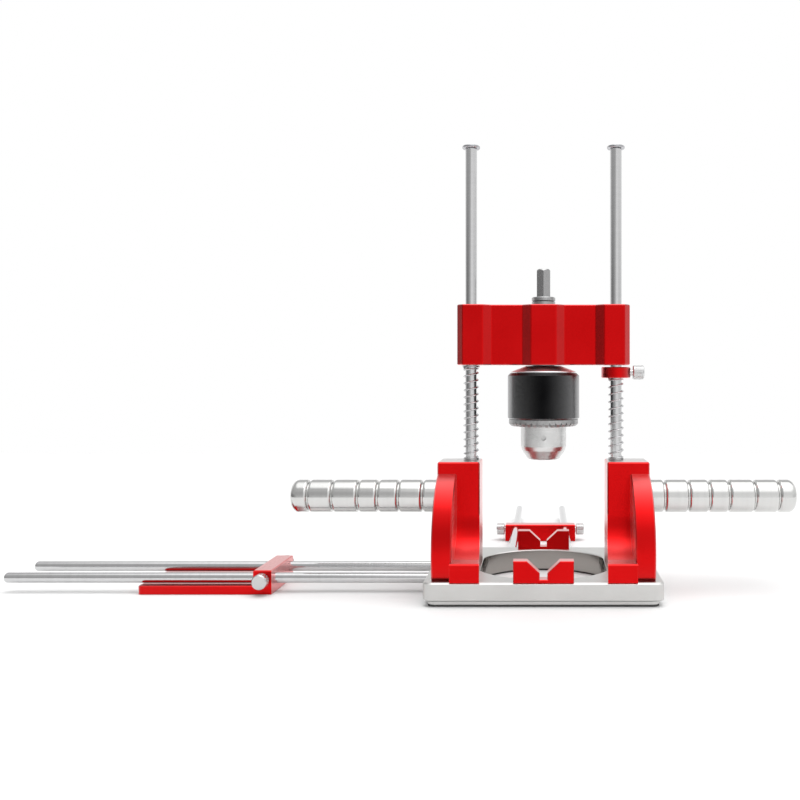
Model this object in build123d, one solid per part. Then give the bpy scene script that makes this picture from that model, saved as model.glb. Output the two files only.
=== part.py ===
from build123d import *
import math
import os

# Dowel joiner: a hand-held drilling guide.  A square base plate with two V blocks
# carries two brackets, two guide rods and a sprung carriage with a drill chuck.
# Two pairs of rods carry sliding fences to the left and to the rear.
#
# Frame: +X right, +Y rear, +Z up.  The origin is where the drilling axis meets
# the surface that the tool stands on.  Everything is in millimetres.

# ---- base ----
BASE_WIDTH = 132.4
BASE_DEPTH = 100.0
BASE_CORNER = 5.0
PAD_THICKNESS = 1.2
LEDGE_HEIGHT = 1.9
LEDGE_INSET = 2.5
PLATE_BOTTOM = PAD_THICKNESS
BASE_TOP = 13.5
PLATE_EDGE = 0.9
WELL_RADIUS = 41.3
WELL_FLAT = 37.0
WELL_CORNER = 14.0
WELL_PAD_GAP = 0.6

# ---- V blocks ----
V_BLOCK_WIDTH = 33.2
V_BLOCK_HEIGHT = 11.8
V_BLOCK_DEPTH = 7.2
V_MOUTH = 18.2
V_DEPTH = 6.5
V_RELIEF_WIDTH = 4.2
V_RELIEF_DEPTH = 3.6
V_SCREW_X = 9.4
V_SCREW_Y = 44.8
V_BLOCK_EDGE = 0.35

# ---- brackets ----
BRACKET_INNER = 37.1
BRACKET_SPLIT = 50.4
BRACKET_OUTER = 61.7
FOOT_INNER = 35.0
COLUMN_FRONT = -18.0
COLUMN_REAR = 7.0
COLUMN_TOP = 76.1
FOOT_TOP = BASE_TOP + 10.2
FOOT_FILLET = 22.0
RIB_RADIUS = 45.0
RIB_CENTRE_Y = -2.8
RIB_CENTRE_Z = 26.9
RIB_TOE_CHAMFER = 1.8
BRACKET_EDGE = 0.7
BRACKET_SCREW_PLACES = [(50.0, -40.0), (55.8, -24.0), (50.0, -7.0)]
BRACKET_SCREW_TOP = 20.5
COLUMN_SCREW_RADIUS = 2.0
COLUMN_SCREW_HEIGHT = 62.0

# ---- fence rods and fences ----
FENCE_ROD_RADIUS = 3.0
FENCE_ROD_HEIGHT = 8.5
SIDE_ROD_SPACING = 30.6
SIDE_ROD_END = -314.0
SIDE_SOCKET_DEPTH = 24.0
REAR_ROD_SPACING = 37.6
REAR_ROD_END = 249.0
REAR_PAIR_SHIFT = -2.5
SET_SCREW_RADIUS = 1.5
REAR_SOCKET_DEPTH = 10.5
SIDE_FENCE_LENGTH = 77.4
REAR_FENCE_LENGTH = 53.0
FENCE_POST = 10.6
FENCE_SHELF = 5.1
FENCE_LIFT = 0.2
SIDE_FENCE_WIDTH = 43.0
SIDE_FENCE_HEIGHT = 14.0
SIDE_FENCE_FACE = -156.9
REAR_FENCE_WIDTH = 53.5
REAR_FENCE_HEIGHT = 12.6
REAR_FENCE_FACE = 141.0

# ---- guide rods, springs and stop collar ----
GUIDE_ROD_X = 43.5
GUIDE_ROD_RADIUS = 3.5
GUIDE_ROD_BOTTOM = 44.0
GUIDE_ROD_TOP = 262.8
END_WASHER_RADIUS = 5.3
END_WASHER_THICKNESS = 1.5
SPRING_RADIUS = 4.2
SPRING_WIRE = 1.0
SPRING_PITCH = 4.3
STOP_COLLAR_RADIUS = 8.75
STOP_COLLAR_BOTTOM = 125.0
STOP_COLLAR_HEIGHT = 6.6
SEAT_WASHER_RADIUS = 5.2
SEAT_WASHER_THICKNESS = 1.0
SEAT_GAP = 0.3

# ---- carriage ----
CARRIAGE_BOTTOM = 132.7
CARRIAGE_HEIGHT = 35.5
CARRIAGE_TOP = CARRIAGE_BOTTOM + CARRIAGE_HEIGHT
CARRIAGE_HALF_WIDTH = 50.7
BOSS_DEPTH = 15.0
WAIST_DEPTH = 11.5
CARRIAGE_CORNER = 3.2
MIDDLE_BOSS_HALF = 7.4
BOSS_SLANT = 5.0
END_BOSS_START = 30.6
END_BOSS_SLANT = 5.0
BUSH_RADIUS = 5.5

# ---- spindle bearings ----
BEARING_BORE = 5.0
BEARING_OUTER = 11.0
BEARING_WIDTH = 6.0
BALL_RADIUS = 1.6
BALL_CIRCLE = 8.0
BALL_COUNT = 11
BEARING_BOTTOMS = [CARRIAGE_BOTTOM + 2.2, CARRIAGE_TOP - 8.2]
CIRCLIP_THICKNESS = 1.0

# ---- drive shaft and chuck ----
HEX_ACROSS_FLATS = 8.0
SHAFT_TOP = 190.3
SHAFT_COLLAR_RADIUS = 7.1
SHAFT_COLLAR_TOP = 173.4
SHAFT_THREAD_RADIUS = 6.35
SHAFT_BOTTOM = 117.0
CHUCK_TOP = 132.2
CHUCK_NOSE = 76.4
CHUCK_NOSE_RADIUS = 13.6
CHUCK_TAPER_TOP = 84.2
CHUCK_TIP_RADIUS = 9.3
CHUCK_JOURNAL = 16.0
CONE_TOP_RADIUS = 10.4
CONE_RADIUS = 19.4
NUT_CAVITY_RADIUS = 18.6
NUT_GROOVE_RADIUS = 14.0
NUT_BORE = 16.6
SLEEVE_RADIUS = 21.5
SLEEVE_BOTTOM = 100.3
SLEEVE_TOP = 128.0
GEAR_BOTTOM = 96.4
GEAR_TEETH = 36
NUT_BOTTOM = 112.0
NUT_TOP = 118.0
RUNNING_CLEARANCE = 0.05
KEY_HOLE_RADIUS = 1.6
KEY_HOLE_HEIGHT = 89.8
JAW_RADIUS = 3.3
JAW_ANGLE = 14.0
JAW_AXIS_AT_NOSE = 3.2
JAW_GRIP_RADIUS = 6.0
JAW_GRIP_HALF_WIDTH = 2.1
JAW_BOTTOM = 82.0
JAW_TOP = 116.0

# ---- handles ----
HANDLE_RADIUS = 9.85
HANDLE_HEIGHT = 54.1
HANDLE_END = 150.7
HANDLE_LOBES = [10.5, 14.3, 15.3, 11.7, 12.4, 14.3]
HANDLE_GROOVE_WIDTH = 0.6
HANDLE_GROOVE_DEPTH = 1.6
HANDLE_SHOULDER = 1.6
HANDLE_END_ROUND = 4.5
HANDLE_STUD_RADIUS = 4.0
STUD_DEPTH = 12.0

# ---- small screws ----
THUMB_HEAD_RADIUS = 4.3
THUMB_HEAD_LENGTH = 6.0
THUMB_SHANK_RADIUS = 2.0
THUMB_FLUTES = 18


def block(x_range, y_range, z_range):
    """A box between two limits along each axis."""
    size = [high - low for low, high in (x_range, y_range, z_range)]
    middle = [(low + high) / 2 for low, high in (x_range, y_range, z_range)]
    return Pos(*middle) * Box(*size)


def upright(radius, bottom, top, x=0.0, y=0.0):
    """A vertical cylinder."""
    return Pos(x, y, (bottom + top) / 2) * Cylinder(radius, top - bottom)


def along_x(radius, start, end, y, z):
    """A cylinder that lies along X."""
    return Pos((start + end) / 2, y, z) * Rot(0, 90, 0) * Cylinder(radius, abs(end - start))


def along_y(radius, start, end, x, z):
    """A cylinder that lies along Y."""
    return Pos(x, (start + end) / 2, z) * Rot(90, 0, 0) * Cylinder(radius, abs(end - start))


def turned(points):
    """A solid of revolution about Z from (radius, height) points."""
    face = make_face(Polyline([(r, 0, z) for r, z in points], close=True))
    return revolve(face, Axis.Z)


def mirrored_x(shape):
    """The same shape on the other side of the YZ plane."""
    return mirror(shape, Plane.YZ)


def save(name, *solids):
    """Write one node; several solids become one group."""
    pieces = [piece for solid in solids for piece in solid.solids()]
    export_step(pieces[0] if len(pieces) == 1 else Compound(pieces), f"parts/{name}.step")


# ---------------------------------------------------------------- base

def well_cutter(bottom, top, extra=0.0):
    """The round well with two flat sides that goes through the base."""
    flat = WELL_FLAT + extra
    cutter = upright(WELL_RADIUS + extra, bottom, top)
    cutter &= block((-flat, flat), (-BASE_DEPTH, BASE_DEPTH), (bottom, top))
    return fillet(cutter.edges().filter_by(Axis.Z).filter_by(lambda edge: abs(edge.center().X) > flat - 1),
                  WELL_CORNER)


def rounded_slab(width, depth, corner, bottom, top, edge):
    """A slab with round corners and a small chamfer round both faces."""
    slab = extrude(Pos(0, 0, bottom) * RectangleRounded(width, depth, corner), top - bottom)
    rims = slab.faces().sort_by(Axis.Z)[-1].edges() + slab.faces().sort_by(Axis.Z)[0].edges()
    return chamfer(rims, edge)


def countersunk_screw(radius, head_radius, bottom, top, x, y, socket):
    """A countersunk screw that points up, with a hexagon socket in its head."""
    cone_top = bottom + 0.4 + (head_radius - radius)
    shape = turned([(0, bottom), (head_radius, bottom), (head_radius, bottom + 0.4),
                    (radius, cone_top), (radius, top - 0.5), (radius - 0.5, top), (0, top)])
    key = extrude(Pos(0, 0, bottom) * RegularPolygon(socket / 2, 6, major_radius=False), 1.6)
    return Pos(x, y, 0) * (shape - key)


def screw_hole(radius, head_radius, bottom, top, x, y):
    """The space that a countersunk screw fills."""
    cone_top = bottom + 0.4 + (head_radius - radius)
    shape = turned([(0, bottom), (head_radius, bottom), (head_radius, bottom + 0.4),
                    (radius, cone_top), (radius, top), (0, top)])
    return Pos(x, y, 0) * shape


V_SCREW = dict(radius=1.25, head_radius=2.3, bottom=PLATE_BOTTOM, top=BASE_TOP + 7.5)
BRACKET_SCREW = dict(radius=2.5, head_radius=4.6, bottom=PLATE_BOTTOM, top=BRACKET_SCREW_TOP)


def v_screw_places():
    return [(sx * V_SCREW_X, sy * V_SCREW_Y) for sx in (-1, 1) for sy in (-1, 1)]


def bracket_screw_places():
    return [(side * x, y) for side in (-1, 1) for x, y in BRACKET_SCREW_PLACES]


def side_rod_ys():
    return {"side_rod_front": -SIDE_ROD_SPACING / 2, "side_rod_rear": SIDE_ROD_SPACING / 2}


def rear_rod_xs():
    return {"rear_rod_left": REAR_PAIR_SHIFT - REAR_ROD_SPACING / 2,
            "rear_rod_right": REAR_PAIR_SHIFT + REAR_ROD_SPACING / 2}


def set_screw_places():
    """Where the small screws that hold the fence rods sit."""
    side = [(-BASE_WIDTH / 2 + 8, y) for y in side_rod_ys().values()]
    rear = [(x, BASE_DEPTH / 2 - 5) for x in rear_rod_xs().values()]
    return side + rear


def base_plate():
    """The plate: its lowest layer is set back, and the well goes right through."""
    ledge_top = PLATE_BOTTOM + LEDGE_HEIGHT
    plate = rounded_slab(BASE_WIDTH, BASE_DEPTH, BASE_CORNER, ledge_top, BASE_TOP, PLATE_EDGE)
    plate += inset_layer(PLATE_BOTTOM, ledge_top + 1)
    plate -= well_cutter(PLATE_BOTTOM - 1, BASE_TOP + 1)
    rim = [edge for edge in plate.edges() if abs(edge.center().Z - BASE_TOP) < 0.01
           and math.hypot(edge.center().X, edge.center().Y) < WELL_RADIUS + 1]
    plate = chamfer(rim, 0.5)
    for y in side_rod_ys().values():
        socket_end = -BASE_WIDTH / 2 + SIDE_SOCKET_DEPTH
        plate -= along_x(FENCE_ROD_RADIUS, -BASE_WIDTH / 2 - 1, socket_end, y, FENCE_ROD_HEIGHT)
    for x in rear_rod_xs().values():
        socket_end = BASE_DEPTH / 2 - REAR_SOCKET_DEPTH
        plate -= along_y(FENCE_ROD_RADIUS, socket_end, BASE_DEPTH / 2 + 1, x, FENCE_ROD_HEIGHT)
    rod_underside = FENCE_ROD_HEIGHT - FENCE_ROD_RADIUS
    for x, y in set_screw_places():
        plate -= upright(SET_SCREW_RADIUS, PLATE_BOTTOM - 1, rod_underside + 0.2, x, y)
    for x, y in v_screw_places():
        plate -= screw_hole(x=x, y=y, **V_SCREW)
    for x, y in bracket_screw_places():
        plate -= screw_hole(x=x, y=y, **BRACKET_SCREW)
    return plate


def inset_layer(bottom, top):
    """A layer that is set back from the sides of the plate."""
    outline = RectangleRounded(BASE_WIDTH - 2 * LEDGE_INSET, BASE_DEPTH - 2 * LEDGE_INSET, BASE_CORNER - 1)
    return extrude(Pos(0, 0, bottom) * outline, top - bottom)


def base_pad():
    """The black non-slip pad, cut out round the well and the screw heads."""
    pad = inset_layer(0, PAD_THICKNESS)
    pad -= well_cutter(-1, PAD_THICKNESS + 1, extra=WELL_PAD_GAP)
    for x, y in v_screw_places():
        pad -= upright(V_SCREW["head_radius"] + 0.1, -1, PAD_THICKNESS + 1, x, y)
    for x, y in bracket_screw_places():
        pad -= upright(BRACKET_SCREW["head_radius"] + 0.4, -1, PAD_THICKNESS + 1, x, y)
    return pad


def front_v_block():
    half = V_BLOCK_WIDTH / 2
    top = BASE_TOP + V_BLOCK_HEIGHT
    front = -BASE_DEPTH / 2
    body = block((-half, half), (front, front + V_BLOCK_DEPTH), (BASE_TOP, top))
    v_floor = top - V_DEPTH
    relief_floor = v_floor - V_RELIEF_DEPTH
    outline = [(-V_MOUTH / 2, top), (-V_RELIEF_WIDTH / 2, v_floor), (-V_RELIEF_WIDTH / 2, relief_floor),
               (V_RELIEF_WIDTH / 2, relief_floor), (V_RELIEF_WIDTH / 2, v_floor), (V_MOUTH / 2, top),
               (V_MOUTH / 2, top + 1), (-V_MOUTH / 2, top + 1)]
    groove = make_face(Polyline([(x, front - 1, z) for x, z in outline], close=True))
    body -= extrude(groove, V_BLOCK_DEPTH + 2, dir=(0, 1, 0))
    rims = [edge for edge in body.edges() if abs(edge.center().Y - front) < 0.01
            and edge.center().Z > BASE_TOP + 0.1]
    body = chamfer(rims, V_BLOCK_EDGE)
    for x, y in v_screw_places():
        body -= screw_hole(x=x, y=y, **V_SCREW)
    return body


# ---------------------------------------------------------------- brackets

def bracket_column():
    column = block((BRACKET_INNER, BRACKET_OUTER), (COLUMN_FRONT, COLUMN_REAR), (BASE_TOP, COLUMN_TOP))
    column = chamfer(column.edges().filter_by(Axis.Z), BRACKET_EDGE)
    return chamfer(column.faces().sort_by(Axis.Z)[-1].edges(), BRACKET_EDGE)


def bracket_foot():
    """The foot: a flat toe, then a concave ramp up to the column.  Its inner side is slanted."""
    front = -BASE_DEPTH / 2
    bend = COLUMN_FRONT - FOOT_FILLET
    ramp_top = FOOT_TOP + FOOT_FILLET
    across = (FOOT_INNER, BRACKET_SPLIT + 1)
    toe = chamfer(block(across, (front, bend + 1), (BASE_TOP, FOOT_TOP)).edges().filter_by(Axis.X)
                  .sort_by(Axis.Z)[-2:].sort_by(Axis.Y)[0], BRACKET_EDGE)
    ramp = block(across, (bend, COLUMN_FRONT + 1), (BASE_TOP, ramp_top))
    ramp -= along_x(FOOT_FILLET, FOOT_INNER - 1, BRACKET_SPLIT + 2, bend, ramp_top)
    beside = make_face(Polyline((FOOT_INNER - 1, front - 1), (FOOT_INNER, front - 1),
                                (BRACKET_INNER, COLUMN_FRONT), (BRACKET_INNER, 0),
                                (FOOT_INNER - 1, 0), close=True))
    return toe + ramp - extrude(beside, COLUMN_TOP)


def bracket_rib():
    """The outer rib: a plate whose front is an arc from the base to high on the column."""
    disc = along_x(RIB_RADIUS, BRACKET_SPLIT, BRACKET_OUTER, RIB_CENTRE_Y, RIB_CENTRE_Z)
    disc = chamfer(disc.edges().filter_by(GeomType.CIRCLE), BRACKET_EDGE)
    rib = disc & block((BRACKET_SPLIT, BRACKET_OUTER), (-BASE_DEPTH, COLUMN_FRONT + 1),
                       (BASE_TOP, COLUMN_TOP))
    toe = rib.edges().filter_by(Axis.X).filter_by(lambda edge: edge.center().Z < BASE_TOP + 0.1)
    return chamfer(toe.sort_by(Axis.Y)[0], RIB_TOE_CHAMFER)


def right_bracket():
    """Column, foot and curved rib, machined from one piece."""
    bracket = bracket_column() + bracket_foot() + bracket_rib()
    bracket -= upright(GUIDE_ROD_RADIUS, GUIDE_ROD_BOTTOM, COLUMN_TOP + 1, GUIDE_ROD_X)
    bracket -= along_x(HANDLE_STUD_RADIUS, BRACKET_OUTER - STUD_DEPTH, BRACKET_OUTER + 1, 0, HANDLE_HEIGHT)
    bracket -= along_y(COLUMN_SCREW_RADIUS, GUIDE_ROD_RADIUS - 0.3, COLUMN_REAR + 1, GUIDE_ROD_X,
                       COLUMN_SCREW_HEIGHT)
    for x, y in BRACKET_SCREW_PLACES:
        bracket -= screw_hole(x=x, y=y, **BRACKET_SCREW)
    return bracket


def rod_set_screws():
    top = FENCE_ROD_HEIGHT - FENCE_ROD_RADIUS - 0.02
    return [upright(SET_SCREW_RADIUS, PLATE_BOTTOM + 0.1, top, x, y) for x, y in set_screw_places()]


def column_set_screws():
    """Grub screws in the rear of the columns that hold the guide rods."""
    screw = along_y(COLUMN_SCREW_RADIUS, GUIDE_ROD_RADIUS + 0.02, COLUMN_REAR - 0.3, GUIDE_ROD_X,
                    COLUMN_SCREW_HEIGHT)
    socket = Pos(GUIDE_ROD_X, COLUMN_REAR, COLUMN_SCREW_HEIGHT) * Rot(90, 0, 0) * extrude(
        RegularPolygon(COLUMN_SCREW_RADIUS / 2, 6, major_radius=False), 2.0)
    screw -= socket
    return [screw, mirrored_x(screw)]


# ---------------------------------------------------------------- fence rods and fences

def fence_rod(length):
    """A rod along Z with rounded ends."""
    rod = upright(FENCE_ROD_RADIUS, 0, length)
    return fillet(rod.faces().sort_by(Axis.Z)[-1].edges(), 1.6)


def side_rod(y):
    start = -BASE_WIDTH / 2 + SIDE_SOCKET_DEPTH
    rod = fence_rod(start - SIDE_ROD_END)
    return Pos(start, y, FENCE_ROD_HEIGHT) * Rot(0, -90, 0) * rod


def rear_rod(x):
    start = BASE_DEPTH / 2 - REAR_SOCKET_DEPTH
    rod = fence_rod(REAR_ROD_END - start)
    return Pos(x, start, FENCE_ROD_HEIGHT) * Rot(-90, 0, 0) * rod


def fence(length, width, height, rod_spacing):
    """An L-shaped fence: working face at X = 0, shelf towards -X, rods along X."""
    half = width / 2
    low = FENCE_LIFT
    post = block((-FENCE_POST, 0), (-half, half), (low, height))
    post = chamfer(post.faces().sort_by(Axis.Z)[-1].edges(), 0.6)
    shelf = block((-length, -FENCE_POST + 1), (-half, half), (low, FENCE_SHELF))
    ends = [edge for edge in shelf.edges().filter_by(Axis.Z) if edge.center().X < -length + 1]
    shelf = fillet(ends, 2.0)
    far_top = [edge for edge in shelf.faces().sort_by(Axis.Z)[-1].edges() if edge.center().X < -FENCE_POST]
    shelf = chamfer(far_top, 0.5)
    body = post + shelf
    middle = -FENCE_POST / 2
    for side in (-1, 1):
        y = side * rod_spacing / 2
        body -= along_x(FENCE_ROD_RADIUS + RUNNING_CLEARANCE, -FENCE_POST - 1, 1, y, FENCE_ROD_HEIGHT)
        body -= along_y(THUMB_SHANK_RADIUS + RUNNING_CLEARANCE, y, side * (half + 1), middle,
                        FENCE_ROD_HEIGHT)
    return body


def thumbscrew(reach, neck, head_length):
    """A fluted thumbscrew along +Z: shank tip at 0, shank, neck, then head."""
    head_start = reach + neck
    head = upright(THUMB_HEAD_RADIUS, head_start, head_start + head_length)
    head = chamfer(head.edges().filter_by(GeomType.CIRCLE), 0.5)
    for index in range(THUMB_FLUTES):
        angle = 360 * index / THUMB_FLUTES
        head -= Rot(0, 0, angle) * upright(0.42, head_start + 0.9, head_start + head_length - 0.9,
                                           THUMB_HEAD_RADIUS + 0.1)
    shank = upright(THUMB_SHANK_RADIUS, 0, head_start + 0.5)
    shank = chamfer(shank.faces().sort_by(Axis.Z)[0].edges(), 0.4)
    return head + shank


def fence_screw(width, rod_spacing):
    """A thumbscrew for the +Y end of a fence, with its tip just clear of the rod."""
    tip = rod_spacing / 2 + FENCE_ROD_RADIUS + 0.12
    screw = thumbscrew(width / 2 - tip, 0.7, THUMB_HEAD_LENGTH)
    return Pos(-FENCE_POST / 2, tip, FENCE_ROD_HEIGHT) * Rot(-90, 0, 0) * screw


def place_side(shape):
    return Pos(SIDE_FENCE_FACE, 0, 0) * shape


def place_rear(shape):
    """Turn a fence so that its working face looks to the front."""
    return Pos(REAR_PAIR_SHIFT, REAR_FENCE_FACE, 0) * Rot(0, 0, -90) * shape


# ---------------------------------------------------------------- guide rods, springs, stop

def right_guide_rod():
    rod = upright(GUIDE_ROD_RADIUS, GUIDE_ROD_BOTTOM, GUIDE_ROD_TOP, GUIDE_ROD_X)
    rod = chamfer(rod.edges().filter_by(GeomType.CIRCLE), 0.3)
    return rod - upright(2.0, GUIDE_ROD_TOP - 12, GUIDE_ROD_TOP + 1, GUIDE_ROD_X)


def end_washers():
    top = GUIDE_ROD_TOP + END_WASHER_THICKNESS
    washer = upright(END_WASHER_RADIUS, GUIDE_ROD_TOP, top)
    washer = chamfer(washer.edges().filter_by(GeomType.CIRCLE), 0.3)
    sink = turned([(0, GUIDE_ROD_TOP - 1), (2.05, GUIDE_ROD_TOP - 1), (2.05, GUIDE_ROD_TOP),
                   (3.55, top), (3.55, top + 1), (0, top + 1)])
    washer -= sink
    return [Pos(side * GUIDE_ROD_X, 0, 0) * washer for side in (-1, 1)]


def end_screws():
    """Countersunk screws that hold the end washers on the guide rods."""
    top = GUIDE_ROD_TOP + END_WASHER_THICKNESS
    screw = turned([(0, top - 11), (1.6, top - 11), (1.98, top - 10.6), (1.98, GUIDE_ROD_TOP + 0.02),
                    (3.5, top - 0.03), (0, top - 0.03)])
    screw -= extrude(Pos(0, 0, top - 1.2) * RegularPolygon(1.25, 6, major_radius=False), 2)
    return [Pos(side * GUIDE_ROD_X, 0, 0) * screw for side in (-1, 1)]


def compression_spring(top, x):
    """A round-wire helix between the column and the piece that rests on it."""
    low = COLUMN_TOP + SPRING_WIRE / 2 + 0.05
    high = top - SPRING_WIRE / 2 - 0.05
    path = Helix(SPRING_PITCH, high - low, SPRING_RADIUS)
    section = Plane(origin=path @ 0, z_dir=path % 0) * Circle(SPRING_WIRE / 2)
    return Pos(x, 0, low) * sweep(section, path, is_frenet=True)


def seat_washer():
    """The washer between the left spring and the carriage."""
    top = CARRIAGE_BOTTOM - SEAT_GAP
    washer = upright(SEAT_WASHER_RADIUS, top - SEAT_WASHER_THICKNESS, top, -GUIDE_ROD_X)
    return washer - upright(GUIDE_ROD_RADIUS + RUNNING_CLEARANCE, top - 3, top + 1, -GUIDE_ROD_X)


def stop_collar():
    top = STOP_COLLAR_BOTTOM + STOP_COLLAR_HEIGHT
    collar = upright(STOP_COLLAR_RADIUS, STOP_COLLAR_BOTTOM, top, GUIDE_ROD_X)
    collar = chamfer(collar.edges().filter_by(GeomType.CIRCLE), 0.5)
    bore = GUIDE_ROD_RADIUS + RUNNING_CLEARANCE
    collar -= upright(bore, STOP_COLLAR_BOTTOM - 1, top + 1, GUIDE_ROD_X)
    middle = STOP_COLLAR_BOTTOM + STOP_COLLAR_HEIGHT / 2
    return collar - along_x(THUMB_SHANK_RADIUS + RUNNING_CLEARANCE, GUIDE_ROD_X,
                            GUIDE_ROD_X + STOP_COLLAR_RADIUS + 1, 0, middle)


def stop_collar_screw():
    tip = GUIDE_ROD_RADIUS + 0.15
    screw = thumbscrew(STOP_COLLAR_RADIUS - tip, 1.4, 6.6)
    middle = STOP_COLLAR_BOTTOM + STOP_COLLAR_HEIGHT / 2
    return Pos(GUIDE_ROD_X + tip, 0, middle) * Rot(0, 90, 0) * screw


# ---------------------------------------------------------------- carriage

def carriage_outline():
    """The yoke seen from above: a deep boss at the middle and at each guide rod, and waists between."""
    corner = CARRIAGE_HALF_WIDTH - CARRIAGE_CORNER
    quarter = [(MIDDLE_BOSS_HALF, BOSS_DEPTH), (MIDDLE_BOSS_HALF + BOSS_SLANT, WAIST_DEPTH),
               (END_BOSS_START, WAIST_DEPTH), (END_BOSS_START + END_BOSS_SLANT, BOSS_DEPTH),
               (corner, BOSS_DEPTH), (CARRIAGE_HALF_WIDTH, BOSS_DEPTH - CARRIAGE_CORNER)]
    rear = [(-x, y) for x, y in reversed(quarter)] + quarter
    front = [(-x, -y) for x, y in rear]
    return make_face(Polyline(rear + front, close=True))


def carriage():
    """The sliding yoke, bored for the two bushes and the two spindle bearings."""
    body = extrude(Pos(0, 0, CARRIAGE_BOTTOM) * carriage_outline(), CARRIAGE_HEIGHT)
    uprights = body.edges().filter_by(Axis.Z)
    body = fillet([edge for edge in uprights if abs(abs(edge.center().Y) - WAIST_DEPTH) < 0.01], 1.2)
    uprights = body.edges().filter_by(Axis.Z)
    body = chamfer([edge for edge in uprights if abs(abs(edge.center().Y) - BOSS_DEPTH) < 0.01], 0.4)
    for end in (-1, 0):
        body = chamfer(body.faces().sort_by(Axis.Z)[end].edges(), 0.5)
    for side in (-1, 1):
        body -= upright(BUSH_RADIUS, CARRIAGE_BOTTOM - 1, CARRIAGE_TOP + 1, side * GUIDE_ROD_X)
    low, high = BEARING_BOTTOMS
    body -= upright(BEARING_OUTER, CARRIAGE_BOTTOM - 1, low + BEARING_WIDTH)
    body -= upright(BEARING_OUTER - 1.5, CARRIAGE_BOTTOM, CARRIAGE_TOP)
    body -= upright(BEARING_OUTER, high, CARRIAGE_TOP + 1)
    for bottom in (low - CIRCLIP_THICKNESS - 0.1, high + BEARING_WIDTH):
        body -= upright(BEARING_OUTER + 0.6, bottom, bottom + CIRCLIP_THICKNESS + 0.1)
    return body


def guide_bushes():
    """Plain bronze sleeves that run on the guide rods."""
    bush = upright(BUSH_RADIUS, CARRIAGE_BOTTOM, CARRIAGE_TOP)
    bore = GUIDE_ROD_RADIUS + RUNNING_CLEARANCE
    bush -= upright(bore, CARRIAGE_BOTTOM - 1, CARRIAGE_TOP + 1)
    bush = chamfer([edge for edge in bush.edges().filter_by(GeomType.CIRCLE) if edge.radius < 5], 0.3)
    return [Pos(side * GUIDE_ROD_X, 0, 0) * bush for side in (-1, 1)]


def ball_track(bottom):
    return Pos(0, 0, bottom + BEARING_WIDTH / 2) * Torus(BALL_CIRCLE, BALL_RADIUS + RUNNING_CLEARANCE)


def bearing_ring(inner, outer, bottom):
    ring = upright(outer, bottom, bottom + BEARING_WIDTH) - upright(inner, bottom - 1, bottom + 8)
    return ring - ball_track(bottom)


def bearing_balls():
    balls = []
    for bottom in BEARING_BOTTOMS:
        for index in range(BALL_COUNT):
            turn = Rot(0, 0, 360 * index / BALL_COUNT)
            balls.append(turn * Pos(BALL_CIRCLE, 0, bottom + BEARING_WIDTH / 2) * Sphere(BALL_RADIUS))
    return balls


def bearing_circlips():
    """Spring rings that keep the bearings in the carriage."""
    low, high = BEARING_BOTTOMS
    rings = []
    for bottom in (low - CIRCLIP_THICKNESS - 0.05, high + BEARING_WIDTH + 0.05):
        ring = upright(BEARING_OUTER + 0.5, bottom, bottom + CIRCLIP_THICKNESS)
        ring -= upright(BEARING_OUTER - 1.2, bottom - 1, bottom + 3)
        ring -= block((-2.5, 2.5), (BEARING_OUTER - 4, BEARING_OUTER + 3), (bottom - 1, bottom + 3))
        rings.append(ring)
    return rings


# ---------------------------------------------------------------- spindle and chuck

def drive_shaft():
    low, high = BEARING_BOTTOMS
    shoulder = BEARING_BORE + 1.6
    shaft = turned([(0, SHAFT_BOTTOM), (SHAFT_THREAD_RADIUS - 0.8, SHAFT_BOTTOM),
                    (SHAFT_THREAD_RADIUS, SHAFT_BOTTOM + 0.8), (SHAFT_THREAD_RADIUS, CHUCK_TOP),
                    (shoulder, CHUCK_TOP), (shoulder, low), (BEARING_BORE, low),
                    (BEARING_BORE, SHAFT_COLLAR_TOP - 0.4), (0, SHAFT_COLLAR_TOP - 0.4)])
    bottom = SHAFT_COLLAR_TOP - 0.5
    hexagon = extrude(Pos(0, 0, bottom) * Rot(0, 0, 30)
                      * RegularPolygon(HEX_ACROSS_FLATS / 2, 6, major_radius=False), SHAFT_TOP - bottom)
    corner = HEX_ACROSS_FLATS / 2 / math.cos(math.radians(30))
    crown = turned([(0, bottom), (corner + 0.1, bottom), (corner + 0.1, SHAFT_TOP - 1.3),
                    (corner - 1.2, SHAFT_TOP), (0, SHAFT_TOP)])
    return shaft + (hexagon & crown)


def shaft_collar():
    """The two-step collar that holds the shaft down on the upper bearing."""
    seat = BEARING_BOTTOMS[1] + BEARING_WIDTH
    low = CARRIAGE_TOP + 0.3
    rise = SHAFT_COLLAR_TOP - low
    collar = turned([(BEARING_BORE, seat), (6.5, seat), (6.5, low), (SHAFT_COLLAR_RADIUS - 0.3, low),
                     (SHAFT_COLLAR_RADIUS, low + 0.3), (SHAFT_COLLAR_RADIUS, low + rise * 0.42),
                     (SHAFT_COLLAR_RADIUS - 0.7, low + rise * 0.5),
                     (SHAFT_COLLAR_RADIUS, low + rise * 0.58),
                     (SHAFT_COLLAR_RADIUS, SHAFT_COLLAR_TOP - 0.4),
                     (SHAFT_COLLAR_RADIUS - 0.4, SHAFT_COLLAR_TOP), (BEARING_BORE, SHAFT_COLLAR_TOP)])
    middle = low + rise / 2
    return collar - along_y(1.25, BEARING_BORE - 1, SHAFT_COLLAR_RADIUS + 1, 0, middle)


def shaft_collar_screw():
    middle = (CARRIAGE_TOP + 0.3 + SHAFT_COLLAR_TOP) / 2
    screw = along_y(1.24, BEARING_BORE + 0.05, SHAFT_COLLAR_RADIUS - 0.7, 0, middle)
    socket = Pos(0, SHAFT_COLLAR_RADIUS, middle) * Rot(90, 0, 0) * extrude(
        RegularPolygon(0.65, 6, major_radius=False), 1.4)
    return screw - socket


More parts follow.
